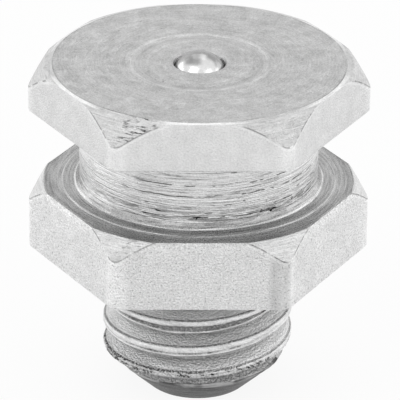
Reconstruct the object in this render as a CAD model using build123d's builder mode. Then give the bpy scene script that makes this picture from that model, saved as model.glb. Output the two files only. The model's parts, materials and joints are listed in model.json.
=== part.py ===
from build123d import *
from math import atan, ceil, cos, degrees, pi, radians, sin, sqrt, tan
import os

os.makedirs("parts", exist_ok=True)

# A button-head grease nipple turned from hexagon bar, in millimetres.
# It stands on its thread end: z is 0 there, and its axis is the Z axis.

# Hexagon bar
across_flats = 16.0
bar_edge_radius = 0.8

# Heights of the turned stretches, from the thread end up
shank_length = 8.0
wrench_height = 4.0
neck_length = 4.0
head_height = 2.75

# Turned diameters and corners
neck_diameter = 12.8
head_chamfer_width = 1.29
head_chamfer_angle = 51.7
wrench_chamfer_width = 0.94
wrench_chamfer_angle = 56.0
neck_corner_leg = 0.3
seat_corner_leg = 0.25

# Ring that the staking punch leaves on the head
staking_ring_diameter = 6.8
staking_ring_width = 0.6
staking_ring_depth = 0.06

# Thread, right-handed
thread_diameter = 10.3
thread_pitch = 1.5
thread_flank_angle = 60.0
thread_crest_flat = 0.28
thread_root_flat = 0.25
thread_end_drop = 1.2
runout_turns = 0.5
runout_clearance = 0.1
lead_in_length = 2.3
end_face_diameter = 5.4

# Grease passage
inlet_depth = 0.33
inlet_chamfer = 0.08
valve_bore_depth = 6.0
outlet_diameter = 2.2
outlet_chamfer = 0.2

# Check ball: the staked rim of the inlet laps over it, and the bore leaves it room to move
ball_diameter = 3.0
ball_clearance = 0.02
rim_lap = 0.11
bore_clearance = 0.15

# Return spring
wire_diameter = 0.38
wire_sides = 6
spring_clearance = 0.15
coil_gap = 0.03
active_turns = 3
points_per_turn = 12

# Levels and radii that follow from the sizes above
corner_radius = across_flats / 2 / cos(radians(30))
neck_radius = neck_diameter / 2
seat_level = shank_length
wrench_top = seat_level + wrench_height
head_bottom = wrench_top + neck_length
head_top = head_bottom + head_height
wrench_face_radius = corner_radius - wrench_chamfer_width
wrench_corner_level = wrench_top - wrench_chamfer_width * tan(radians(wrench_chamfer_angle))
head_face_radius = corner_radius - head_chamfer_width
head_corner_level = head_top - head_chamfer_width * tan(radians(head_chamfer_angle))
thread_radius = thread_diameter / 2
groove_mouth = thread_pitch - thread_crest_flat
flank_slope = tan(radians(thread_flank_angle / 2))
groove_depth = (groove_mouth - thread_root_flat) / 2 / flank_slope
root_radius = thread_radius - groove_depth
cutter_reach = groove_depth + runout_clearance
cutter_mouth = thread_root_flat + 2 * cutter_reach * flank_slope
thread_end_height = seat_level - thread_end_drop
thread_turns = ceil(thread_end_height / thread_pitch)
thread_start_height = thread_end_height - thread_turns * thread_pitch
runout_height = runout_turns * thread_pitch
runout_cone = degrees(atan(cutter_reach / runout_height))
groove_stretches = [
    (thread_pitch, thread_turns * thread_pitch, thread_start_height, 0),
    (thread_pitch / cos(radians(runout_cone)), runout_height, thread_end_height, runout_cone),
]

# The ball bears on a cone that touches it at the inlet's lower edge
ball_radius = ball_diameter / 2
ball_reach = ball_radius + ball_clearance
inlet_radius = ball_radius - rim_lap
valve_bore_radius = ball_radius + bore_clearance
inlet_level = head_top - inlet_depth
ball_drop = sqrt(ball_reach**2 - inlet_radius**2)
ball_level = inlet_level - ball_drop
cone_height = (valve_bore_radius - inlet_radius) * inlet_radius / ball_drop
step_level = head_top - valve_bore_depth

# The spring stands on the step of the bore and cups the ball from below.
# Its end coils lie flat, for as much of a turn as leaves a gap to the coil that follows.
wire_radius = wire_diameter / 2
coil_radius = valve_bore_radius - spring_clearance - wire_radius
spring_bottom = step_level + ball_clearance + wire_radius
spring_top = ball_level - sqrt((ball_reach + wire_radius) ** 2 - coil_radius**2)
coil_pitch = (spring_top - spring_bottom) / active_turns
flat_turns = 1 - (wire_diameter + coil_gap) / coil_pitch
spring_turns = active_turns + 2 * flat_turns
coil_points = []
for step in range(round(spring_turns * points_per_turn) + 1):
    turn = step * spring_turns / round(spring_turns * points_per_turn)
    angle = 2 * pi * turn
    climb = min(max(turn - flat_turns, 0), active_turns)
    coil_points.append((coil_radius * cos(angle), coil_radius * sin(angle), spring_bottom + climb * coil_pitch))


with BuildPart() as nipple_body:
    # Shank blank, with enough below the thread end for the cutter to start in
    blank_bottom = thread_start_height - thread_pitch
    with Locations((0, 0, blank_bottom)):
        Cylinder(thread_radius, seat_level - blank_bottom, align=(Align.CENTER, Align.CENTER, Align.MIN))

    # Helical thread groove, and the half turn below the seat where the cutter draws out of it
    for pitch, rise, start, cone in groove_stretches:
        with BuildLine() as groove_path:
            Helix(pitch=pitch, height=rise, radius=root_radius, center=(0, 0, start), cone_angle=cone)
        path = groove_path.line
        with BuildSketch(Plane(origin=path @ 0, x_dir=(1, 0, 0), z_dir=path % 0)):
            with BuildLine():
                Polyline(
                    (0, -thread_root_flat / 2),
                    (cutter_reach, -cutter_mouth / 2),
                    (cutter_reach, cutter_mouth / 2),
                    (0, thread_root_flat / 2),
                    close=True,
                )
            make_face()
        sweep(is_frenet=True, mode=Mode.SUBTRACT)

    # Hexagon bar with its drawn edges, and the stock for the corner under it
    with BuildSketch(Plane.XY.offset(seat_level)) as bar_section:
        RegularPolygon(radius=across_flats / 2, side_count=6, major_radius=False)
        fillet(bar_section.vertices(), bar_edge_radius)
    extrude(amount=head_top - seat_level)
    with BuildSketch(Plane.XY.offset(seat_level)):
        Circle(thread_radius + seat_corner_leg)
    extrude(amount=-seat_corner_leg)

    # What turning leaves of it: shank, wrench hexagon, neck and head
    with BuildSketch(Plane.XZ) as turned_outline:
        with BuildLine():
            Polyline(
                (0, 0),
                (end_face_diameter / 2, 0),
                (thread_radius, lead_in_length),
                (thread_radius, seat_level),
                (corner_radius, seat_level),
                (corner_radius, wrench_corner_level),
                (wrench_face_radius, wrench_top),
                (neck_radius, wrench_top),
                (neck_radius, head_bottom),
                (corner_radius, head_bottom),
                (corner_radius, head_corner_level),
                (head_face_radius, head_top),
                (0, head_top),
                close=True,
            )
        make_face()
        neck_corners = [
            turned_outline.vertices().sort_by_distance((neck_radius, level))[0]
            for level in (wrench_top, head_bottom)
        ]
        chamfer(neck_corners, neck_corner_leg)
        seat_corner = turned_outline.vertices().sort_by_distance((thread_radius, seat_level))[0]
        chamfer(seat_corner, seat_corner_leg)
    revolve(axis=Axis.Z, mode=Mode.INTERSECT)

    # Grease passage: staked inlet, ball seat, valve bore, step for the spring, and outlet
    with BuildSketch(Plane.XZ) as passage_outline:
        with BuildLine():
            Polyline(
                (0, head_top),
                (inlet_radius, head_top),
                (inlet_radius, inlet_level),
                (valve_bore_radius, inlet_level - cone_height),
                (valve_bore_radius, step_level),
                (outlet_diameter / 2, step_level),
                (outlet_diameter / 2, 0),
                (0, 0),
                close=True,
            )
        make_face()
    revolve(axis=Axis.Z, mode=Mode.SUBTRACT)

    inlet_rim = nipple_body.edges().filter_by(GeomType.CIRCLE).filter_by(
        lambda edge: abs(edge.radius - inlet_radius) < 1e-6 and edge.center().Z > inlet_level + 1e-6
    )
    chamfer(inlet_rim, inlet_chamfer)
    outlet_rim = nipple_body.edges().filter_by(GeomType.CIRCLE).filter_by(
        lambda edge: abs(edge.radius - outlet_diameter / 2) < 1e-6 and edge.center().Z < 1e-6
    )
    chamfer(outlet_rim, outlet_chamfer)

    # Shallow ring left round the inlet where its edge was staked over the ball
    staking_radius = staking_ring_diameter / 2
    with BuildSketch(Plane.XZ) as staking_mark:
        with BuildLine():
            Polyline(
                (staking_radius - staking_ring_width / 2, head_top),
                (staking_radius, head_top - staking_ring_depth),
                (staking_radius + staking_ring_width / 2, head_top),
                close=True,
            )
        make_face()
    revolve(axis=Axis.Z, mode=Mode.SUBTRACT)

with BuildPart() as check_ball:
    with Locations((0, 0, ball_level)):
        Sphere(ball_radius)

with BuildPart() as return_spring:
    with BuildLine() as coil_line:
        Spline(*coil_points)
    with BuildSketch(Plane(origin=coil_line.line @ 0, z_dir=coil_line.line % 0)):
        RegularPolygon(radius=wire_radius, side_count=wire_sides)
    sweep(is_frenet=True)

nipple_body.part.label = "nipple_body"
check_ball.part.label = "check_ball"
return_spring.part.label = "return_spring"

export_step(nipple_body.part, "parts/nipple_body.step")
export_step(check_ball.part, "parts/check_ball.step")
export_step(return_spring.part, "parts/return_spring.step")
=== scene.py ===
import json
import math
import bmesh
import bpy
import numpy as np
from mathutils import Matrix, Vector


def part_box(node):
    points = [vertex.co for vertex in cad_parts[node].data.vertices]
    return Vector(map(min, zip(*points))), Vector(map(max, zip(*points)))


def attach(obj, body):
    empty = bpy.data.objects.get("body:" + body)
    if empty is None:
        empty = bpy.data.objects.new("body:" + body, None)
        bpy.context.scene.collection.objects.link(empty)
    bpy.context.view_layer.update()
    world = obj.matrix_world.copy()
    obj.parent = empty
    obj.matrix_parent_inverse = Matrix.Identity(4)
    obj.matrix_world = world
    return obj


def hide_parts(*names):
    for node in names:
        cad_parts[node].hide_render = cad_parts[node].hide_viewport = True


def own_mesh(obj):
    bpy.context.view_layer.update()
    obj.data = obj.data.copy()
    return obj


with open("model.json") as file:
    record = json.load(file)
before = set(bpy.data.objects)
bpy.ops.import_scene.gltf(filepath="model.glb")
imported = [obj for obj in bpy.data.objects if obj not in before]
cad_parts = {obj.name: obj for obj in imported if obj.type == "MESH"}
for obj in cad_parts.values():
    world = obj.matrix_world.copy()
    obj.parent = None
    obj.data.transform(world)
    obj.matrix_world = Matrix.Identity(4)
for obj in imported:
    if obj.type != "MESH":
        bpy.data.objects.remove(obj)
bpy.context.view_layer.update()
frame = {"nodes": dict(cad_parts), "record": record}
print("frame loaded:", ", ".join(sorted(frame["nodes"])))

mm = 0.001  # the frame is in metres, the sizes below are in millimetres
mounts = {mount["name"]: mount for mount in frame["record"]["mounts"]}


def nodeBox(node):
    low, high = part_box(node)
    return low / mm, high / mm


bodyHigh = nodeBox("nipple_body")[1]
ballLow, ballHigh = nodeBox("check_ball")
springLow, springHigh = nodeBox("return_spring")
grooveMiddle = mounts["coupler_groove"]["pos_m"][2] / mm
grooveHeight = mounts["coupler_groove"]["dims"]["length_mm"]


# The turned body: levels and radii come from the frame, the rest is the shape of its edges
nipple = {
    "halfFlats": bodyHigh.y,
    "barEdge": 0.8,                 # radius of the bar's six drawn edges
    "headTop": bodyHigh.z,
    "headBottom": grooveMiddle + grooveHeight / 2,
    "wrenchTop": grooveMiddle - grooveHeight / 2,
    "seat": mounts["seat_face"]["pos_m"][2] / mm,
    "neck": mounts["coupler_groove"]["dims"]["r_mm"],
    "headChamfer": (1.04, 56.3),    # width at a sharp corner, and angle
    "wrenchChamfer": (0.86, 56.7),
    "leastChamfer": 0.02,           # least width and height of the head's chamfer, in the middle of a flat
    "headRim": (7.86, 0.13),        # where the face starts to fall, and its drop where the chamfer starts
    "ledgeStep": (7.3, 0.1, 0.08),  # radius, width and drop of the turned step on the ledge
    "cornerLeg": 0.3,               # small corners at both ends of the neck, and under the wrench hexagon
    "seatLeg": 0.25,
    "ringMark": (3.4, 0.3, 0.06),   # radius, half width and depth of the staking ring
    "inlet": 1.39,                  # inlet, bore, outlet and end face are radii
    "inletDepth": 0.33,
    "inletEdge": 0.08,
    "bore": 1.65,
    "boreDepth": 6.0,
    "seatSlope": 2.1,               # height of the ball's seat for each mm that it widens
    "outlet": 1.1,
    "outletEdge": 0.2,
    "endFace": 2.7,
    "leadIn": 2.3,
    "flatColumns": 56,              # mesh columns across a flat and round a drawn edge
    "edgeColumns": 8,
}

# The thread: its crest is two lips with a seam between them
thread = {
    "crest": mounts["thread"]["dims"]["r_mm"],
    "root": 4.31,
    "pitch": 1.5,
    "turns": (-2, 6),               # first and last of the helix, which passes both ends
    "phase": 0.05,                  # height of a crest on the +X side
    "rootHalf": 0.125,              # half widths of the root and of a lip
    "lipHalf": 0.055,
    "lipFall": 0.03,                # how far a lip's sides and an open seam lie under the crest
    "seamFall": 0.11,
    "bottom": 1.0,                  # the plain nose lies under this level, the plain shank over the other
    "top": 7.2,
    "fade": 0.7,                    # height over which the groove runs out
    "torn": (2.6, 3.5),             # levels between the torn first turn and the sound thread
    "ragged": (0.12, 0.02),         # depths under the crest where raggedness starts, and is whole
    "burr": (0.012, 0.05),          # raggedness of a sound crest, and what the torn turn adds
    "ripple": 0.008,
    "noseWear": 0.02,
    "noseFade": 0.3,                # height over which the wear of the nose starts
    "noseSkin": 0.07,               # what lies this close to the lead-in cone has its finish
    # along the helix, by the crest's height: how far the lips lie over and under its middle,
    # how wide the upper one is, and how far the seam between them is open
    "upperLip": [(0, 0.1), (2.45, 0.1), (2.65, 0.06), (2.85, 0.14), (3.4, 0.1), (3.95, 0.07), (4.17, 0.1),
                 (4.3, 0.18), (4.42, 0.26), (4.8, 0.14), (5.7, 0.15), (5.85, 0.2), (6.2, 0.12), (7, 0.1)],
    "upperWidth": [(0, 0.09), (3.7, 0.09), (3.94, 0.2), (4.17, 0.27), (4.3, 0.21), (4.42, 0.1), (5.4, 0.1),
                   (5.5, 0.18), (5.7, 0.2), (5.85, 0.16), (6, 0.09), (7, 0.09)],
    "lowerLip": [(0, 0.08), (3.7, 0.12), (3.94, 0.28), (4.12, 0.32), (4.2, 0.28), (4.3, 0.2), (4.42, 0.05),
                 (5.4, 0.12), (5.5, 0.25), (5.6, 0.44), (5.7, 0.42), (5.8, 0.28), (5.86, 0.1), (7, 0.08)],
    "seamOpen": [(0, 0.1), (3.7, 0.2), (3.94, 0.45), (4.17, 0.55), (4.33, 0.35), (4.42, 0), (5.38, 0),
                 (5.47, 0.9), (5.86, 1), (5.96, 0.3), (6.1, 0), (7, 0)],
}


def hexColumns():
    # polar angles of the mesh columns, and the bar's radius at each
    halfFlats = nipple["halfFlats"]
    edge = nipple["barEdge"]
    edgeCentre = (halfFlats - edge) / math.cos(math.radians(30))
    turn = math.radians(60)
    edgeEnd = math.atan2(edge * math.sin(turn / 2), edgeCentre + edge * math.cos(turn / 2))
    angles = []
    radii = []
    for side in range(6):
        for step in range(nipple["edgeColumns"]):
            around = turn * (step / nipple["edgeColumns"] - 0.5)
            x = edgeCentre + edge * math.cos(around)
            y = edge * math.sin(around)
            angles.append(side * turn + math.atan2(y, x))
            radii.append(math.hypot(x, y))
        for step in range(nipple["flatColumns"]):
            across = edgeEnd + (turn - 2 * edgeEnd) * step / nipple["flatColumns"]
            angles.append(side * turn + across)
            radii.append(halfFlats / math.cos(across - turn / 2))
    return np.array(angles), np.array(radii)


def softCorners(corners, columns):
    # rounds the corners of an outline in every column
    # a corner is (radius, height, cut, arc steps, spans, finish)
    # a cut takes at most a share of the edges beside it, and an arc changes finish a little past its middle
    mostOfEdge, finishChange, tiny = 0.45, 0.6, 1e-9
    points = []
    for radius, height, *_ in corners:
        points.append(np.stack([np.broadcast_to(radius, columns), np.broadcast_to(height, columns)]))
    rows = [points[0]]
    finishes = []
    last = len(points) - 1
    for index in range(1, last + 1):
        cut, steps, spans, finish = corners[index][2:]
        before, here = points[index - 1], points[index]
        start = rows[-1]
        if index < last:
            after = points[index + 1]
            back = np.hypot(*(before - here))
            ahead = np.hypot(*(after - here))
            reach = np.minimum(cut, np.minimum(back, ahead) * mostOfEdge)
            entry = here + (before - here) * reach / np.maximum(back, tiny)
            leave = here + (after - here) * reach / np.maximum(ahead, tiny)
        else:
            steps = 0
            entry = here
        for span in range(1, spans + 1):
            rows.append(start + (entry - start) * span / spans)
            finishes.append(finish)
        for step in range(1, steps + 1):
            t = step / steps
            rows.append(entry * (1 - t) ** 2 + here * 2 * t * (1 - t) + leave * t ** 2)
            finishes.append(finish if t < finishChange else corners[index + 1][5])
    return np.stack(rows), finishes


def waves(angles, heights, seed, count, around, along):
    # a smooth uneven field that closes on itself round the axis, between about -1 and 1
    random = np.random.default_rng(seed)
    total = np.zeros(np.broadcast(angles, heights).shape)
    for _ in range(count):
        total += np.sin(random.integers(*around) * angles + random.uniform(*along) * heights
                        + random.uniform(0, 2 * math.pi))
    return total / math.sqrt(count)


def smoothRise(value, low, high):
    # 0 under low, 1 over high
    t = np.clip((value - low) / (high - low), 0, 1)
    return t * t * (3 - 2 * t)


def alongHelix(table, heights):
    # reads a table of (height of the crest, value)
    return np.interp(heights, [row[0] for row in table], [row[1] for row in table])


def bodyOutline(bar):
    # from the nose inwards, up the passage, over the head and down to the thread's top
    headFall = math.tan(math.radians(nipple["headChamfer"][1]))
    wrenchFall = math.tan(math.radians(nipple["wrenchChamfer"][1]))
    sharp = nipple["halfFlats"] / math.cos(math.radians(30))
    headFace = sharp - nipple["headChamfer"][0]
    wrenchFace = np.minimum(sharp - nipple["wrenchChamfer"][0], bar)
    headTop, headBottom = nipple["headTop"], nipple["headBottom"]
    rimStart, rimDrop = nipple["headRim"]
    rimEnd = np.minimum(headFace + rimDrop / headFall, bar - nipple["leastChamfer"])
    rimLevel = headTop - rimDrop * (rimEnd - rimStart) / (headFace + rimDrop / headFall - rimStart)
    coneLevel = np.minimum(rimLevel - nipple["leastChamfer"], headTop - (bar - headFace) * headFall)
    wrenchTop, seat = nipple["wrenchTop"], nipple["seat"]
    neck, leg = nipple["neck"], nipple["cornerLeg"]
    ring, ringHalf, ringDepth = nipple["ringMark"]
    inlet, inletEdge = nipple["inlet"], nipple["inletEdge"]
    inletLevel = headTop - nipple["inletDepth"]
    step = headTop - nipple["boreDepth"]
    stepRadius, stepWidth, stepDrop = nipple["ledgeStep"]
    wrenchLevel = wrenchTop - stepDrop
    seatCone = inletLevel - (nipple["bore"] - inlet) * nipple["seatSlope"]
    outlet, outletEdge = nipple["outlet"], nipple["outletEdge"]
    crest, seatLeg = thread["crest"], nipple["seatLeg"]
    return [
        (noseRadius(thread["bottom"]), thread["bottom"], 0, 0, 1, "nose"),
        (nipple["endFace"], 0, 0.14, 3, 5, "nose"),
        (outlet + outletEdge, 0, 0.03, 1, 1, "nose"),
        (outlet, outletEdge, 0.03, 1, 1, "bore"),
        (outlet, step, 0.03, 1, 1, "bore"),
        (nipple["bore"], step, 0.03, 1, 1, "bore"),
        (nipple["bore"], seatCone, 0.03, 1, 1, "bore"),
        (inlet, inletLevel, 0.03, 1, 1, "bore"),
        (inlet, headTop - inletEdge, 0.03, 2, 1, "under"),
        (inlet + inletEdge, headTop, 0.05, 3, 1, "faced"),
        (ring - ringHalf, headTop, 0.12, 2, 4, "faced"),
        (ring, headTop - ringDepth, 0.14, 2, 1, "faced"),
        (ring + ringHalf, headTop, 0.12, 2, 1, "faced"),
        (rimStart, headTop, 0.06, 2, 9, "faced"),
        (rimEnd, rimLevel, 0.05, 2, 1, "headCone"),
        (bar, coneLevel, 0.07, 3, 3, "headCone"),
        (bar, headBottom, 0.1, 3, 6, "drawn"),
        (neck + leg, headBottom, 0.05, 1, 1, "under"),
        (neck, headBottom - leg, 0.05, 1, 1, "neck"),
        (neck, wrenchTop + leg, 0.05, 1, 6, "neck"),
        (neck + leg, wrenchTop, 0.05, 1, 1, "ledge"),
        (stepRadius, wrenchTop, 0.03, 1, 2, "ledge"),
        (stepRadius + stepWidth, wrenchLevel, 0.03, 1, 1, "ledge"),
        (wrenchFace, wrenchLevel, 0.06, 3, 4, "ledge"),
        (bar, wrenchLevel - (bar - wrenchFace) * wrenchFall, 0.06, 3, 2, "wrenchCone"),
        (bar, seat, 0.1, 3, 6, "drawn"),
        (crest + seatLeg, seat, 0.05, 1, 1, "under"),
        (crest, seat - seatLeg, 0.05, 1, 1, "under"),
        (crest, thread["top"], 0, 0, 1, "rolled"),
    ]


def noseRadius(height):
    rise = (thread["crest"] - nipple["endFace"]) / nipple["leadIn"]
    return nipple["endFace"] + height * rise


def threadRows(angles):
    # rows that follow the helix, one outline for each turn
    pitch, crest, root = thread["pitch"], thread["crest"], thread["root"]
    lipHalf, lipFall = thread["lipHalf"], thread["lipFall"]
    rows = []
    for turn in range(*thread["turns"]):
        middle = thread["phase"] + pitch * (turn + angles / (2 * math.pi))
        upper = alongHelix(thread["upperLip"], middle)
        lower = alongHelix(thread["lowerLip"], middle)
        width = alongHelix(thread["upperWidth"], middle)
        seam = alongHelix(thread["seamOpen"], middle) * thread["seamFall"]
        seamMiddle = middle + (upper - width - lower + lipHalf) / 2
        foot = pitch / 2 - thread["rootHalf"]
        outline = [
            (root, middle - pitch / 2, 0, 0, 1, "rolled"),
            (root, middle - foot, 0.06, 2, 1, "rolled"),
            (crest - lipFall, middle - lower - lipHalf, 0.03, 1, 2, "rolled"),
            (crest, middle - lower, 0.05, 3, 1, "rolled"),
            (crest - lipFall / 2 - seam / 2, middle - lower + lipHalf, 0.03, 1, 1, "rolled"),
            (crest - lipFall / 2 - seam, seamMiddle, 0.05, 2, 1, "rolled"),
            (crest - lipFall / 2, middle + upper - width, 0.03, 1, 1, "rolled"),
            (crest, middle + upper - lipHalf / 2, 0.05, 3, 1, "rolled"),
            (crest - lipFall, middle + upper + lipHalf, 0.03, 1, 1, "rolled"),
            (root, middle + foot, 0.08, 2, 5, "rolled"),
            (root, middle + pitch / 2, 0, 0, 1, "rolled"),
        ]
        turnRows = softCorners(outline, len(angles))[0]
        rows.append(turnRows[:-1])
    rows = np.concatenate(rows)
    radii, heights = rows[:, 0].copy(), rows[:, 1].copy()
    heights = np.clip(heights, thread["bottom"], thread["top"])
    raggedStart, raggedWhole = thread["ragged"]
    ragged = smoothRise(radii, crest - raggedStart, crest - raggedWhole)
    torn = 1 - smoothRise(heights, *thread["torn"])
    soundBurr, tornBurr = thread["burr"]
    burr = waves(angles, heights, seed=11, count=14, around=(20, 90), along=(2, 25))
    ripple = waves(angles, heights, seed=12, count=8, around=(3, 24), along=(2, 14))
    wear = waves(angles, heights, seed=13, count=10, around=(2, 16), along=(8, 40))
    radii -= ragged * (soundBurr + tornBurr * torn) * np.abs(burr)
    radii -= thread["ripple"] * (1 + ripple)
    fade = smoothRise(heights, thread["top"] - thread["fade"], thread["top"])
    radii += (crest - radii) * fade
    nose = noseRadius(heights) - thread["noseWear"] * torn * (1 + wear)
    worn = smoothRise(heights, thread["bottom"], thread["bottom"] + thread["noseFade"])
    nose += (noseRadius(heights) - nose) * (1 - worn)
    radii = np.minimum(radii, nose)
    return radii, heights, len(turnRows) - 1


finishOrder = ["nose", "bore", "faced", "headCone", "drawn", "under", "neck", "ledge", "wrenchCone", "rolled"]


def bodyMesh():
    angles, bar = hexColumns()
    columns = len(angles)
    strip, stripFinishes = softCorners(bodyOutline(bar), columns)
    stripRadii, stripHeights = strip[:, 0], strip[:, 1]
    helixRadii, helixHeights, perTurn = threadRows(angles)
    radii = np.concatenate([stripRadii, helixRadii])
    heights = np.concatenate([stripHeights, helixHeights])
    cosines, sines = np.cos(angles), np.sin(angles)
    points = np.stack([radii * cosines, radii * sines, heights], axis=-1).reshape(-1, 3) * mm
    faces = []
    slots = []
    stripRows = len(stripRadii)
    for row in range(stripRows - 1):  # all that is round or hexagonal
        slot = finishOrder.index(stripFinishes[row])
        low, high = row * columns, (row + 1) * columns
        for column in range(columns):
            beside = (column + 1) % columns
            faces.append((low + column, high + column, high + beside, low + beside))
            slots.append(slot)
    rolled = finishOrder.index("rolled")
    nose = finishOrder.index("nose")
    helixRows = len(helixRadii)
    for row in range(helixRows - 1):  # the thread
        for column in range(columns):
            beside = (column + 1) % columns
            besideRow = row if beside else row + perTurn  # a full turn ends where the next one starts
            if besideRow + 1 >= helixRows:
                continue
            level = helixHeights[row, column]
            levels = {level, helixHeights[row + 1, column],
                      helixHeights[besideRow, beside], helixHeights[besideRow + 1, beside]}
            if levels == {thread["bottom"]} or levels == {thread["top"]}:
                continue  # cut off, as it lies past the thread's end
            low, high = (stripRows + row) * columns, (stripRows + besideRow) * columns
            faces.append((low + column, high + beside, high + columns + beside, low + columns + column))
            skin = noseRadius(level) - thread["noseSkin"]
            onNose = level < nipple["leadIn"] and helixRadii[row, column] > skin
            slots.append(nose if onNose else rolled)
    return points, faces, slots


def addPiece(name, points, faces, slots=None):
    # welds the points that lie on each other and drops the ones without a face
    mesh = bpy.data.meshes.new(name)
    mesh.from_pydata([tuple(point) for point in points], [], faces)
    if slots is not None:
        mesh.polygons.foreach_set("material_index", slots)
    weld = bmesh.new()
    weld.from_mesh(mesh)
    bmesh.ops.remove_doubles(weld, verts=weld.verts, dist=2e-7)  # 0.0002 mm
    loose = [vert for vert in weld.verts if not vert.link_faces]
    bmesh.ops.delete(weld, geom=loose, context="VERTS")
    weld.to_mesh(mesh)
    weld.free()
    mesh.polygons.foreach_set("use_smooth", [True] * len(mesh.polygons))
    mesh.update()
    piece = bpy.data.objects.new(name, mesh)
    bpy.context.scene.collection.objects.link(piece)
    return piece


body = addPiece("nippleBody", *bodyMesh())
evenShading = body.modifiers.new("evenShading", "WEIGHTED_NORMAL")
evenShading.keep_sharp = False
evenShading.weight = 100  # large faces decide, so flats shade flat
print("body made:", len(body.data.polygons), "faces")


# The check ball: a ground sphere with small dents
ball = {
    "radius": (ballHigh.z - ballLow.z) / 2,
    "level": (ballHigh.z + ballLow.z) / 2,
    "rings": 64,
    "columns": 96,
    "dents": 0.006,
    "dentLevel": 0.9,               # the higher, the fewer dents
    "dentStretch": 6,               # how closely they follow each other from pole to pole
}


def ballMesh():
    tilt = np.linspace(0, math.pi, ball["rings"] + 1)[:, None]
    angles = np.linspace(0, 2 * math.pi, ball["columns"], endpoint=False)
    field = waves(angles, tilt * ball["dentStretch"], seed=21, count=12, around=(3, 14), along=(2, 6))
    dents = np.clip(field - ball["dentLevel"], 0, 1) * np.sin(tilt) ** 2
    radii = ball["radius"] - ball["dents"] * dents
    points = np.stack([
        radii * np.sin(tilt) * np.cos(angles),
        radii * np.sin(tilt) * np.sin(angles),
        ball["level"] + radii * np.cos(tilt) * np.ones_like(angles),
    ], axis=-1).reshape(-1, 3) * mm
    columns = ball["columns"]
    faces = []
    for row in range(ball["rings"]):
        for column in range(columns):
            beside = (column + 1) % columns
            faces.append((row * columns + column, (row + 1) * columns + column,
                          (row + 1) * columns + beside, row * columns + beside))
    return points, faces


checkBall = addPiece("checkBall", *ballMesh())
print("ball made")


# The return spring: round wire, closed end coils that lie flat
spring = {
    "wire": 0.19,                   # radius
    "gap": 0.03,                    # between a flat end coil and the one that follows
    "turns": 3,                     # that climb, between the flat end coils
    "stepsPerTurn": 72,
    "sides": 14,
    "capSteps": 4,
    "capReach": 0.6,                # of the wire's radius, at each rounded end
    "travel": 1.0,                  # of the ball
}


def springMesh():
    wire = spring["wire"]
    coil = (springHigh.x - springLow.x) / 2 - wire
    low, high = springLow.z + wire, springHigh.z - wire
    climb = (high - low) / spring["turns"]
    flat = 1 - (2 * wire + spring["gap"]) / climb
    turns = spring["turns"] + 2 * flat
    count = round(turns * spring["stepsPerTurn"])
    turn = np.linspace(0, turns, count + 1)
    angles = 2 * math.pi * turn
    middles = np.stack([coil * np.cos(angles), coil * np.sin(angles),
                        low + np.clip(turn - flat, 0, spring["turns"]) * climb], axis=1)
    along = np.gradient(middles, axis=0)
    along /= np.linalg.norm(along, axis=1)[:, None]
    outward = np.stack([np.cos(angles), np.sin(angles), np.zeros_like(angles)], axis=1)
    upward = np.cross(outward, along)
    rings = []  # rounded ends, as (step along the coil, way ahead of it, share of the wire's radius)
    for end, sign in ((0, -1), (count, 1)):
        caps = []
        for step in range(spring["capSteps"]):
            lean = math.pi / 2 * (1 - step / spring["capSteps"])
            caps.append((end, sign * wire * math.sin(lean) * spring["capReach"], math.cos(lean)))
        rings.append(caps if end == 0 else caps[::-1])
    stations = rings[0] + [(step, 0, 1) for step in range(count + 1)] + rings[1]
    around = np.linspace(0, 2 * math.pi, spring["sides"], endpoint=False)[:, None]
    points = []
    for step, ahead, share in stations:
        centre = middles[step] + along[step] * ahead
        circle = np.cos(around) * outward[step] + np.sin(around) * upward[step]
        points.append(centre + wire * share * circle)
    sides = spring["sides"]
    faces = []
    for row in range(len(stations) - 1):
        for side in range(sides):
            beside = (side + 1) % sides
            faces.append((row * sides + side, (row + 1) * sides + side,
                          (row + 1) * sides + beside, row * sides + beside))
    return np.concatenate(points) * mm, faces


returnSpring = addPiece("returnSpring", *springMesh())
print("spring made")


# Shader nodes
class Wire:
    # a socket that takes part in sums, as in 1 - mask
    def __init__(self, nodes, socket):
        self.nodes = nodes
        self.socket = socket

    def math(self, operation, *values):
        return self.nodes.add("Math", {"operation": operation}, dict(enumerate((self, *values))))

    def __add__(self, other):
        return self.math("ADD", other)

    def __radd__(self, other):
        return self.math("ADD", other)

    def __sub__(self, other):
        return self.math("SUBTRACT", other)

    def __rsub__(self, other):
        return self.nodes.add("Math", {"operation": "SUBTRACT"}, {0: other, 1: self})

    def __mul__(self, other):
        return self.math("MULTIPLY", other)

    def __rmul__(self, other):
        return self.math("MULTIPLY", other)

    def __pow__(self, other):
        return self.math("POWER", other)

    def rise(self, low, high):
        # 0 under low, 1 over high, smooth between them; low may be the larger
        return self.nodes.add("MapRange", {"interpolation_type": "SMOOTHSTEP"},
                              {"Value": self, "From Min": low, "From Max": high})

    def spread(self, half):
        # noise stays close to 0.5, so what lies up to half away from that is drawn out to 0 and 1
        return self.rise(0.5 - half, 0.5 + half)

    def between(self, low, high):
        # low where a mask is 0, high where it is 1
        return self * (high - low) + low

    def near(self, level, half, core=0):
        # 1 within core of a level, 0 from half on
        return (self - level).math("ABSOLUTE").rise(half, core)


class Nodes:
    def __init__(self, tree):
        self.tree = tree
        tree.nodes.clear()

    def add(self, kind, settings=None, sockets=None, output=0):
        node = self.tree.nodes.new("ShaderNode" + kind)
        for name, value in (settings or {}).items():
            setattr(node, name, value)
        for name, value in (sockets or {}).items():
            if isinstance(value, Wire):
                self.tree.links.new(value.socket, node.inputs[name])
            else:
                node.inputs[name].default_value = value
        return Wire(self, node.outputs[output]) if node.outputs else None


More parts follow.
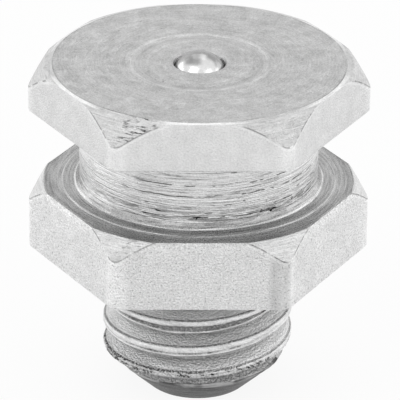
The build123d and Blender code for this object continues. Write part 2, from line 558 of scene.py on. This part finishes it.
class Finish(Nodes):
    # a steel surface, with its place on the part in millimetres
    def __init__(self, name):
        self.material = bpy.data.materials.new(name)
        self.material.use_nodes = True
        super().__init__(self.material.node_tree)
        place = self.add("TexCoord", output="Object")
        self.point = self.add("VectorMath", {"operation": "SCALE"}, {0: place, "Scale": 1 / mm})
        self.x = self.add("SeparateXYZ", None, {0: self.point}, "X")
        self.y = self.add("SeparateXYZ", None, {0: self.point}, "Y")
        self.z = self.add("SeparateXYZ", None, {0: self.point}, "Z")
        self.radius = (self.x * self.x + self.y * self.y) ** 0.5

    def noise(self, place, scale, detail):
        return self.add("TexNoise", None, {"Vector": place, "Scale": scale, "Detail": detail}, "Fac")

    def cloud(self, perMm, detail, shift=0):
        # mottling with no direction
        place = self.add("VectorMath", {"operation": "ADD"}, {0: self.point, 1: (shift, shift, shift)})
        return self.noise(place, perMm, detail)

    def streaks(self, across, perMm, along, detail, shift=0):
        # lines that run round the axis: fine across, long along
        sockets = {0: across * perMm + shift, 1: self.x * along, 2: self.y * along}
        return self.noise(self.add("CombineXYZ", None, sockets), 1.0, detail)

    def scratches(self, degrees, perMm, level):
        # thin straight lines across the top, at an angle to +X
        turned = self.add("VectorRotate", {"rotation_type": "Z_AXIS"},
                          {"Vector": self.point, "Angle": math.radians(degrees)})
        lengthwise, blur = 0.25, 0.06
        thin = self.add("VectorMath", {"operation": "MULTIPLY"}, {0: turned, 1: (lengthwise, perMm, 0)})
        return self.noise(thin, 1.0, 2).rise(level, level - blur)

    def blend(self, shares, masks):
        # sum of a ground level and each mask times its share
        total = shares["ground"]
        for name, share in shares.items():
            if name != "ground":
                total = total + masks[name] * share
        return total

    def finish(self, look, masks):
        colour = self.add("Mix", {"data_type": "RGBA"},
                          {0: self.blend(look["tone"], masks), 6: (0, 0, 0, 1), 7: (1, 1, 1, 1)}, 2)
        bump = self.add("Bump", None, {"Height": self.blend(look["relief"], masks),
                                       "Distance": look["depth"] * mm, "Strength": 1.0})
        roughness = self.blend(look["roughness"], masks)
        shader = self.add("BsdfPrincipled", None, {"Base Color": colour, "Roughness": roughness,
                                                   "Metallic": 1.0, "Normal": bump})
        self.add("OutputMaterial", None, {"Surface": shader})
        return self.material


# A look gives tone, roughness and relief as a ground level and the share of each mask.
# Its depth is the relief's, in millimetres.
# A pair that goes to rise is where a mask starts and where it is whole.
facedLook = {
    "tone": {"ground": 0.14, "fine": 0.08, "broad": 0.1, "mottle": 0.34, "grain": 0.16, "lines": 1,
             "specks": -0.18, "scratch": -0.08},
    "roughness": {"ground": 0.3, "grain": 0.1},
    "relief": {"ground": 0, "fine": 0.5, "grain": 1, "scratch": -1},
    "depth": 0.014,
    # distance out from the staking ring, half width and change of tone; the last one is the face's own edge
    "rings": [(-0.12, 0.16, -0.06), (0.3, 0.26, 0.13), (0.62, 0.12, -0.04), (-0.6, 0.25, 0.05),
              (1.1, 0.2, -0.03), (4.43, 0.08, -0.16)],
    "scratches": [(55, 5.5, 0.28), (-38, 4.6, 0.3)],  # angle, lines in a mm, level of the noise
}


def facedFinish():
    # concentric cuts of the facing tool, fine scratches across them, dull patches
    steel = Finish("facedTop")
    lines = 0
    for offset, half, change in facedLook["rings"]:
        ring = steel.radius.near(nipple["ringMark"][0] + offset, half)
        uneven = steel.streaks(steel.radius, perMm=5.0, along=0.6, detail=3, shift=11).rise(0.35, 0.6)
        lines = lines + ring * change * uneven
    first, second = facedLook["scratches"]
    return steel.finish(facedLook, {
        "fine": steel.streaks(steel.radius, perMm=15.0, along=1.3, detail=3).spread(0.2),
        "broad": steel.streaks(steel.radius, perMm=3.4, along=0.3, detail=2, shift=7),
        "mottle": steel.cloud(perMm=1.3, detail=5),
        "grain": steel.cloud(perMm=14.0, detail=3, shift=3).spread(0.16),
        "lines": lines,
        "specks": steel.cloud(perMm=5.0, detail=2, shift=31).rise(0.71, 0.76),
        "scratch": steel.scratches(*first) + steel.scratches(*second),
    })


coneLook = {
    "tone": {"fine": 0.13, "grain": 0.1, "mottle": 0.16, "skim": 0.22},
    "roughness": {"ground": 0.32, "grain": 0.1},
    "relief": {"ground": 0, "fine": 1, "grain": 1, "tears": -2},
    "depth": 0.02,
    "torn": (-2.7, 1.5, 0.7),       # x of the torn patch, its half width, and that of its core
    "tornFront": (-6.8, -7.4),      # y where the patch starts, and where it is whole
    "tornElsewhere": 0.12,          # share of the tears that shows outside the patch
    "skimRadius": (8.1, 8.02),      # radii where the painted highlight line starts, and where it is whole
    "skimFlat": (7.45, 7.9),        # the same for the distance towards a flat
}


def coneFinish(name, ground, torn):
    # turned chamfer, torn where the tool dragged, with a painted highlight line where it only skims a flat
    steel = Finish(name)
    mottle = steel.cloud(perMm=1.8, detail=4, shift=6)
    dragged = (steel.x + mottle).near(*coneLook["torn"]) * steel.y.rise(*coneLook["tornFront"])
    tears = steel.streaks(steel.z, perMm=19.0, along=1.6, detail=3, shift=5).rise(0.53, 0.6)
    tears = tears * (coneLook["tornElsewhere"] + dragged)
    across = steel.y.math("ABSOLUTE")
    for side in (-60, 60):
        slanted = steel.y * math.cos(math.radians(side)) + steel.x * math.sin(math.radians(side))
        across = across.math("MAXIMUM", slanted.math("ABSOLUTE"))
    look = dict(coneLook, tone=dict(coneLook["tone"], ground=ground, tears=-torn))
    return steel.finish(look, {
        "fine": steel.streaks(steel.z, perMm=16.0, along=0.7, detail=3).spread(0.2),
        "grain": steel.cloud(perMm=10.0, detail=4, shift=1).spread(0.16),
        "mottle": mottle,
        "tears": tears * steel.cloud(perMm=1.6, detail=3, shift=17).rise(0.42, 0.56),
        # painted highlight: a bright line along the chamfer's inner edge in the middle of each flat
        "skim": steel.radius.rise(*coneLook["skimRadius"]) * across.rise(*coneLook["skimFlat"]),
    })


drawnLook = {
    "tone": {"ground": 0.54, "mottle": 0.2, "speck": 0.13, "lines": 0.08, "pits": -0.22, "burr": -0.42,
             "edge": 0.1, "stain": -1, "lit": 0.06},
    "roughness": {"ground": 0.36, "mottle": 0.12},
    "relief": {"ground": 0, "speck": 1, "mottle": 0.6, "pits": -1},
    "depth": 0.025,
    "worn": (13.0, 11.8),           # z between the smoother head and the rougher wrench hexagon
    "edge": (8.8, 9.08),            # radii where a drawn edge starts, and where it is whole
    "burr": (8.2, 8.36),            # the same for the burr along a chamfer
    "burrWidth": (0.1, 0.02),       # half width of the burr, and that of its core
    "litLine": (0.16, 0.1, 0.03),   # painted highlight line under the burr: distance, half width, and that of its core
    "stain": (4.2, 0.75, 0.3),      # x of the stain on the front, its half width, and that of its core
    "stainFront": (-7.6, -7.8),     # y where the stain starts, and where it is whole
    "stainTop": (11.6, 10.6),       # the same for z
}


def drawnFinish():
    # drawn bar: speckled, more so on the wrench hexagon, and a dark burr where a chamfer meets it, with a
    # painted highlight line just under it
    steel = Finish("drawnFlat")
    worn = steel.z.rise(*drawnLook["worn"])
    speck = steel.cloud(perMm=10.5, detail=4, shift=2).spread(0.14) * worn.between(0.6, 1.2)
    sharp = nipple["halfFlats"] / math.cos(math.radians(30))
    burr = 0
    lit = 0
    for top, (width, angle) in ((nipple["headTop"], nipple["headChamfer"]),
                                (nipple["wrenchTop"] - nipple["ledgeStep"][2], nipple["wrenchChamfer"])):
        below = top - (steel.radius - (sharp - width)) * math.tan(math.radians(angle)) - steel.z
        burr = burr + below.near(0, *drawnLook["burrWidth"])
        # painted highlight: a bright line just under each chamfer's edge
        lit = lit + below.near(*drawnLook["litLine"])
    burr = burr * steel.cloud(perMm=1.5, detail=4, shift=23).rise(0.4, 0.52)
    stain = steel.x.near(*drawnLook["stain"]) * steel.y.rise(*drawnLook["stainFront"])
    return steel.finish(drawnLook, {
        "mottle": steel.cloud(perMm=1.1, detail=5),
        "speck": speck,
        "lines": steel.streaks(steel.x + steel.y * 0.6, perMm=3.0, along=0.02, detail=3, shift=3),
        "pits": steel.cloud(perMm=9.0, detail=3, shift=12).rise(0.59, 0.66) * worn.between(0.3, 1),
        "burr": burr * steel.radius.rise(*drawnLook["burr"]),
        "edge": steel.radius.rise(*drawnLook["edge"]),
        "stain": stain * steel.z.rise(*drawnLook["stainTop"]) * speck.between(0.06, 0.26),
        "lit": lit,
    })


neckLook = {
    "tone": {"ground": 0.57, "fine": 0.17, "grain": 0.1, "mottle": 0.16, "ring": 0.3, "cuts": -0.54,
             "hairs": -0.26, "pits": -0.42, "rough": -0.4, "foot": -0.02},
    "roughness": {"ground": 0.3, "grain": 0.1},
    "relief": {"ground": 0, "fine": 1, "grain": 0.5, "cuts": -2, "hairs": -1, "pits": -1, "rough": -1},
    "depth": 0.022,
    # level, half width and how broken each dark cut is
    "cuts": [(15.15, 0.05, 0.5), (14.44, 0.045, 0.52), (13.82, 0.06, 0.44), (13.3, 0.05, 0.5),
             (12.9, 0.05, 0.5), (12.6, 0.05, 0.48)],
    "cutWander": 0.24,              # how far a cut strays from its level
    "cutBlur": 0.07,                # how softly a cut breaks off
    # x and level of the larger pits, in front
    "pits": [(3.2, 12.66), (3.72, 12.5), (4.85, 12.75), (2.3, 13.4)],
    "pitSize": (0.09, 0.04),        # radius of a pit, and that of its core
    "foot": (14.1, 13.0),           # the rough foot starts at the first level and is whole at the second; its darkening is partly painted shade
    "footWander": 1.2,
    "ring": (12.42, 12.3),          # painted highlight ring at the neck's lower corner
    "clean": (-2.6, -4.4),          # x of the cleaner stretch, on the front's left
    "cleanFront": (0, -1.5),        # y of the same
}


def neckFinish():
    # turned groove: dark broken cuts at the levels where the tool chattered, rough and dull near its foot,
    # darker there partly as painted shade, and a painted highlight ring at its lower corner
    steel = Finish("turnedNeck")
    mottle = steel.cloud(perMm=0.9, detail=4, shift=8)
    foot = (steel.z + mottle * neckLook["footWander"]).rise(*neckLook["foot"])
    clean = steel.x.rise(*neckLook["clean"]) * steel.y.rise(*neckLook["cleanFront"])
    cuts = 0
    for index, (level, half, broken) in enumerate(neckLook["cuts"]):
        wander = (steel.cloud(perMm=0.9, detail=5, shift=40 + index) - 0.5) * neckLook["cutWander"]
        gaps = steel.cloud(perMm=1.0, detail=5, shift=50 + index).rise(broken, broken + neckLook["cutBlur"])
        cuts = cuts + (steel.z + wander).near(level, half) * gaps
    pits = steel.cloud(perMm=7.0, detail=2, shift=21).rise(0.68, 0.73)
    pits = pits * steel.cloud(perMm=0.5, detail=2, shift=33).rise(0.45, 0.55)
    for x, level in neckLook["pits"]:
        away = ((steel.x - x) ** 2 + (steel.z - level) ** 2) ** 0.5
        pits = pits + away.rise(*neckLook["pitSize"]) * steel.y.rise(0, -1)
    hairs = steel.streaks(steel.z, perMm=14.0, along=0.28, detail=3, shift=60).rise(0.57, 0.66)
    rough = steel.streaks(steel.z, perMm=9.0, along=0.9, detail=4, shift=6).rise(0.43, 0.58)
    return steel.finish(neckLook, {
        "fine": steel.streaks(steel.z, perMm=16.0, along=0.3, detail=4).spread(0.2),
        "grain": steel.cloud(perMm=10.0, detail=4, shift=1).spread(0.16),
        "mottle": mottle,
        # painted highlight along the neck's lower corner
        "ring": steel.z.rise(*neckLook["ring"]),
        "cuts": cuts * clean.between(1, 0.4),
        "hairs": hairs * steel.cloud(perMm=0.8, detail=3, shift=61).rise(0.42, 0.55),
        "pits": pits,
        # darker rough streaks towards the foot, partly painted shade
        "rough": rough * foot * clean.between(1, 0.5),
        "foot": foot,
    })


ledgeLook = {
    # the low ground tone is partly painted shade
    "tone": {"ground": 0.32, "fine": 0.12, "grain": 0.08, "cuts": -0.09, "outer": -0.1, "rings": 1},
    "roughness": {"ground": 0.24, "grain": 0.1},
    "relief": {"ground": 0, "fine": 1, "grain": 0.4, "cuts": -1},
    "depth": 0.011,
    "outer": (7.6, 8.15),           # radii where the darker rim starts, and where it is whole
    # radius, half width and brightness of each painted highlight ring
    "rings": [(6.66, 0.07, 0.4), (7.33, 0.05, 0.2), (7.93, 0.03, 0.1), (8.36, 0.06, 0.3)],
    "ringCore": 0.3,                # share of the half width that is fully bright
}


def ledgeFinish():
    # turned step between the neck and the wrench chamfer, dark partly as painted shade under the head, with
    # painted highlight rings at its corners
    steel = Finish("turnedLedge")
    fine = steel.streaks(steel.radius, perMm=16.0, along=0.4, detail=4).spread(0.2)
    rings = 0
    for radius, half, bright in ledgeLook["rings"]:
        rings = rings + steel.radius.near(radius, half, half * ledgeLook["ringCore"]) * bright
    return steel.finish(ledgeLook, {
        "fine": fine,
        "grain": steel.cloud(perMm=10.0, detail=3, shift=1).spread(0.16),
        "cuts": steel.streaks(steel.radius, perMm=9.0, along=0.7, detail=4, shift=9).rise(0.48, 0.6),
        "outer": steel.radius.rise(*ledgeLook["outer"]),
        # painted highlight rings
        "rings": rings * fine.between(0.6, 1),
    })


rolledLook = {
    "tone": {"ground": 0.51, "lip": 0.2, "fine": 0.09, "grain": 0.1, "scale": 0.12, "seam": -1, "root": -0.22,
             "torn": -0.24, "polish": 0.16},
    "roughness": {"ground": 0.36, "grain": 0.12},
    "relief": {"ground": 0, "fine": 0.4, "grain": 1, "seamScale": -2},
    "depth": 0.03,
    "root": (0.25, 0.02),           # over the root, where its painted shade starts and where it is whole
    # depths under the crest where each of these starts and where it is whole
    "seam": (0.05, 0.09),
    "seamFloor": (0.2, 0.14),
    "lip": (0.04, 0.01),
    "polish": (0.55, 0.2),
    "whole": (2.5, 3.4),            # levels between the torn first turn and the sound thread
    "polishFrom": (2.75, 2.9),      # the stretch with the painted highlight lies between these two pairs of levels
    "polishTo": (3.5, 3.2),
}


def rolledFinish():
    # burnished lips, a painted highlight on the flank over the torn turn, and painted shade in the seam
    # between the lips and towards the root
    steel = Finish("rolledThread")
    depth = thread["crest"] - steel.radius
    seam = depth.rise(*rolledLook["seam"]) * depth.rise(*rolledLook["seamFloor"])
    whole = steel.z.rise(*rolledLook["whole"])
    polish = depth.rise(*rolledLook["polish"]) * steel.z.rise(*rolledLook["polishTo"])
    rough = steel.cloud(perMm=11.0, detail=4, shift=19).spread(0.1)
    return steel.finish(rolledLook, {
        "lip": depth.rise(*rolledLook["lip"]) * whole.between(0.15, 1),
        "fine": steel.streaks(steel.z, perMm=16.0, along=0.5, detail=4).spread(0.2),
        "grain": steel.cloud(perMm=10.0, detail=4, shift=1).spread(0.16),
        "scale": steel.cloud(perMm=2.6, detail=4, shift=14),
        # painted shade in the seam between the lips, mottled
        "seam": seam * rough.between(0.26, 0.42),
        "seamScale": seam * rough,
        # painted shade, darker towards the root
        "root": (steel.radius - thread["root"]).rise(*rolledLook["root"]),
        "torn": (1 - whole) * rough,
        # painted highlight on the flank just over the torn turn
        "polish": polish * steel.z.rise(*rolledLook["polishFrom"]),
    })


noseLook = {
    # the very dark ground tone is painted shade
    "tone": {"ground": 0.05, "fine": 0.06, "grain": 0.03, "strip": 1},
    "roughness": {"ground": 0.4, "grain": 0.1},
    "relief": {"ground": 0, "fine": 1, "grain": 1},
    "depth": 0.015,
    "strip": (1.4, 1.5),            # levels where the burnished strip starts, and where it is whole
}


def noseFinish():
    # lead-in cone: dark as painted shade, for the shadowed floor that it mirrors, with a burnished strip
    # under the first turn of the thread
    steel = Finish("noseCone")
    fine = steel.streaks(steel.z, perMm=14.0, along=0.5, detail=3).spread(0.15)
    strip = steel.z.rise(*noseLook["strip"]) * steel.cloud(perMm=0.7, detail=5, shift=9).rise(0.4, 0.55)
    return steel.finish(noseLook, {
        "fine": fine,
        "grain": steel.cloud(perMm=9.0, detail=3, shift=1).spread(0.16),
        "strip": strip * fine.between(0.12, 0.32),
    })


plainLook = {
    "tone": {"ground": 0.75, "fine": 0.25, "grain": 0.25},
    "relief": {"ground": 0, "fine": 1, "grain": 1},
    "depth": 0.015,
}


def plainFinish(name, level, rough):
    # turned face that hardly shows
    steel = Finish(name)
    look = dict(plainLook, roughness={"ground": rough, "grain": 0.1},
                tone={mask: share * level for mask, share in plainLook["tone"].items()})
    return steel.finish(look, {
        "fine": steel.streaks(steel.z + steel.radius, perMm=12.0, along=0.4, detail=3).spread(0.2),
        "grain": steel.cloud(perMm=9.0, detail=3, shift=1).spread(0.16),
    })


ballLook = {
    "tone": {"ground": 0.16, "scuffs": 0.22, "grain": 0.12, "bright": 0.4},
    "roughness": {"ground": 0.14, "scuffs": 0.14},
    "relief": {"ground": 0, "scuffs": 1, "grain": 0.4},
    "depth": 0.008,
    "patches": 1.2,                 # weight of the patches and of the front in what is bright; the front's share is a painted reflection
    "front": 0.5,
    "bright": (0.75, 1.15),
}


def ballFinish():
    # scuffed where the coupler's seal rubs, brighter in patches, and brighter towards the front as a painted
    # reflection
    steel = Finish("groundBall")
    patches = steel.cloud(perMm=0.9, detail=2, shift=5) * ballLook["patches"]
    return steel.finish(ballLook, {
        "scuffs": steel.cloud(perMm=2.4, detail=5),
        "grain": steel.cloud(perMm=9.0, detail=3, shift=2),
        # brighter towards the front: a painted reflection
        "bright": (patches - steel.y * ballLook["front"]).rise(*ballLook["bright"]),
    })


wireLook = {
    "tone": {"ground": 0.42, "grain": 0.25},
    "roughness": {"ground": 0.3, "grain": 0.1},
    "relief": {"ground": 0, "grain": 1},
    "depth": 0.01,
}


def wireFinish():
    # drawn wire, slightly mottled
    steel = Finish("drawnWire")
    return steel.finish(wireLook, {"grain": steel.cloud(perMm=6.0, detail=4)})


# a chamfer has its ground tone and how dark its tears are, a plain finish its tone and roughness
finishes = {
    "nose": noseFinish(),
    "bore": plainFinish("drilledBore", 0.35, 0.45),
    "faced": facedFinish(),
    "headCone": coneFinish("headChamfer", 0.39, 0.44),
    "drawn": drawnFinish(),
    # the undersides and the inlet's wall get a high tone: painted light for the light bounced into their
    # shade
    "under": plainFinish("turnedUnderside", 0.8, 0.4),
    "neck": neckFinish(),
    "ledge": ledgeFinish(),
    "wrenchCone": coneFinish("wrenchChamfer", 0.47, 0.24),
    "rolled": rolledFinish(),
}
for name in finishOrder:
    body.data.materials.append(finishes[name])
checkBall.data.materials.append(ballFinish())
returnSpring.data.materials.append(wireFinish())
print("finishes made")


# What each piece stands for and moves with
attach(body, "body")
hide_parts("nipple_body")
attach(checkBall, "ball")
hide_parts("check_ball")
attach(returnSpring, "body")
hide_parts("return_spring")
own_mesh(returnSpring)
print("pieces placed")


# Studio: pale floor, white surroundings, soft lamps
studio = {
    "floorSize": 3.0,               # metres, as the drop under the thread's end
    "floorDrop": 0.00001,
    "floorTone": 0.9,
    "floorGlow": 0.9,               # share of plain white in what the camera sees of the floor
    "surround": 0.75,               # light of the surroundings on what isn't glossy
    # name, azimuth and elevation in degrees, distance and size in metres, power in watts
    "lamps": [
        ("keyLamp", -40, 50, 0.5, 0.3, 0.3),
        ("fillLamp", 50, 35, 0.5, 0.3, 0.2),
        ("backLamp", 180, 55, 0.5, 0.3, 0.15),
        ("leftLamp", -112, 6, 0.5, 0.45, 0.72),
        ("rightLamp", 112, 6, 0.5, 0.45, 0.55),
    ],
}

floorMesh = bpy.data.meshes.new("floor")
half = studio["floorSize"] / 2
corners = [(-half, -half), (half, -half), (half, half), (-half, half)]
floorMesh.from_pydata([(x, y, -studio["floorDrop"]) for x, y in corners], [], [(0, 1, 2, 3)])
floor = bpy.data.objects.new("floor", floorMesh)
bpy.context.scene.collection.objects.link(floor)


def direction(azimuth, elevation):
    # azimuth 0 is the photo's side of the part, -Y
    around, up = math.radians(azimuth), math.radians(elevation)
    return Vector((math.sin(around) * math.cos(up), -math.cos(around) * math.cos(up), math.sin(up)))


def seenDirectly(nodes):
    # 1 for rays from the camera and those that were mirrored or passed through
    camera = nodes.add("LightPath", None, None, "Is Camera Ray")
    glossy = nodes.add("LightPath", None, None, "Is Glossy Ray")
    through = nodes.add("LightPath", None, None, "Is Transmission Ray")
    return camera.math("MAXIMUM", glossy).math("MAXIMUM", through)


def floorFinish():
    # matt floor that the camera sees nearly white
    material = bpy.data.materials.new("paleFloor")
    material.use_nodes = True
    nodes = Nodes(material.node_tree)
    tone = studio["floorTone"]
    matt = nodes.add("BsdfDiffuse", None, {"Color": (tone, tone, tone, 1)})
    lit = nodes.add("Emission", None, {"Color": (1, 1, 1, 1), "Strength": 1.0})
    shader = nodes.add("MixShader", None, {0: seenDirectly(nodes) * studio["floorGlow"], 1: matt, 2: lit})
    nodes.add("OutputMaterial", None, {"Surface": shader})
    return material


floorMesh.materials.append(floorFinish())

world = bpy.data.worlds.new("surroundings")
bpy.context.scene.world = world
world.use_nodes = True
sky = Nodes(world.node_tree)
strength = studio["surround"] + seenDirectly(sky) * (1 - studio["surround"])
background = sky.add("Background", None, {"Color": (1, 1, 1, 1), "Strength": strength})
sky.add("OutputWorld", None, {"Surface": background})

for name, azimuth, elevation, distance, size, power in studio["lamps"]:
    lamp = bpy.data.lights.new(name, "AREA")
    lamp.energy = power
    lamp.size = size
    holder = bpy.data.objects.new(name, lamp)
    holder.location = direction(azimuth, elevation) * distance
    holder.rotation_euler = (-holder.location).to_track_quat("-Z", "Y").to_euler()
    bpy.context.scene.collection.objects.link(holder)
print("studio made")


# Camera at the photograph's angle
view = {
    "target": 10.643,               # height on the axis, in mm as the step and the distance
    "side": 0.082,                  # the aim's step to the right
    "azimuth": -1.1,                # degrees, as the elevation and the roll
    "elevation": 25.28,
    "roll": 0.5,
    "distance": 260.6,
    "lens": 435.8,
    "sensor": 36.0,
    "clipStart": 0.01,              # metres
}

cameraData = bpy.data.cameras.new("camera")
cameraData.lens = view["lens"]
cameraData.sensor_width = view["sensor"]
cameraData.clip_start = view["clipStart"]
camera = bpy.data.objects.new("camera", cameraData)
backward = direction(view["azimuth"], view["elevation"])
facing = (-backward).to_track_quat("-Z", "Y").to_matrix().to_4x4()
turned = facing @ Matrix.Rotation(math.radians(view["roll"]), 4, "Z")
aim = Vector((0, 0, view["target"])) + turned.col[0].to_3d() * view["side"]
camera.matrix_world = Matrix.Translation((aim + backward * view["distance"]) * mm) @ turned
bpy.context.scene.collection.objects.link(camera)
bpy.context.scene.camera = camera
bpy.context.scene.view_settings.view_transform = "Standard"
print("camera placed")
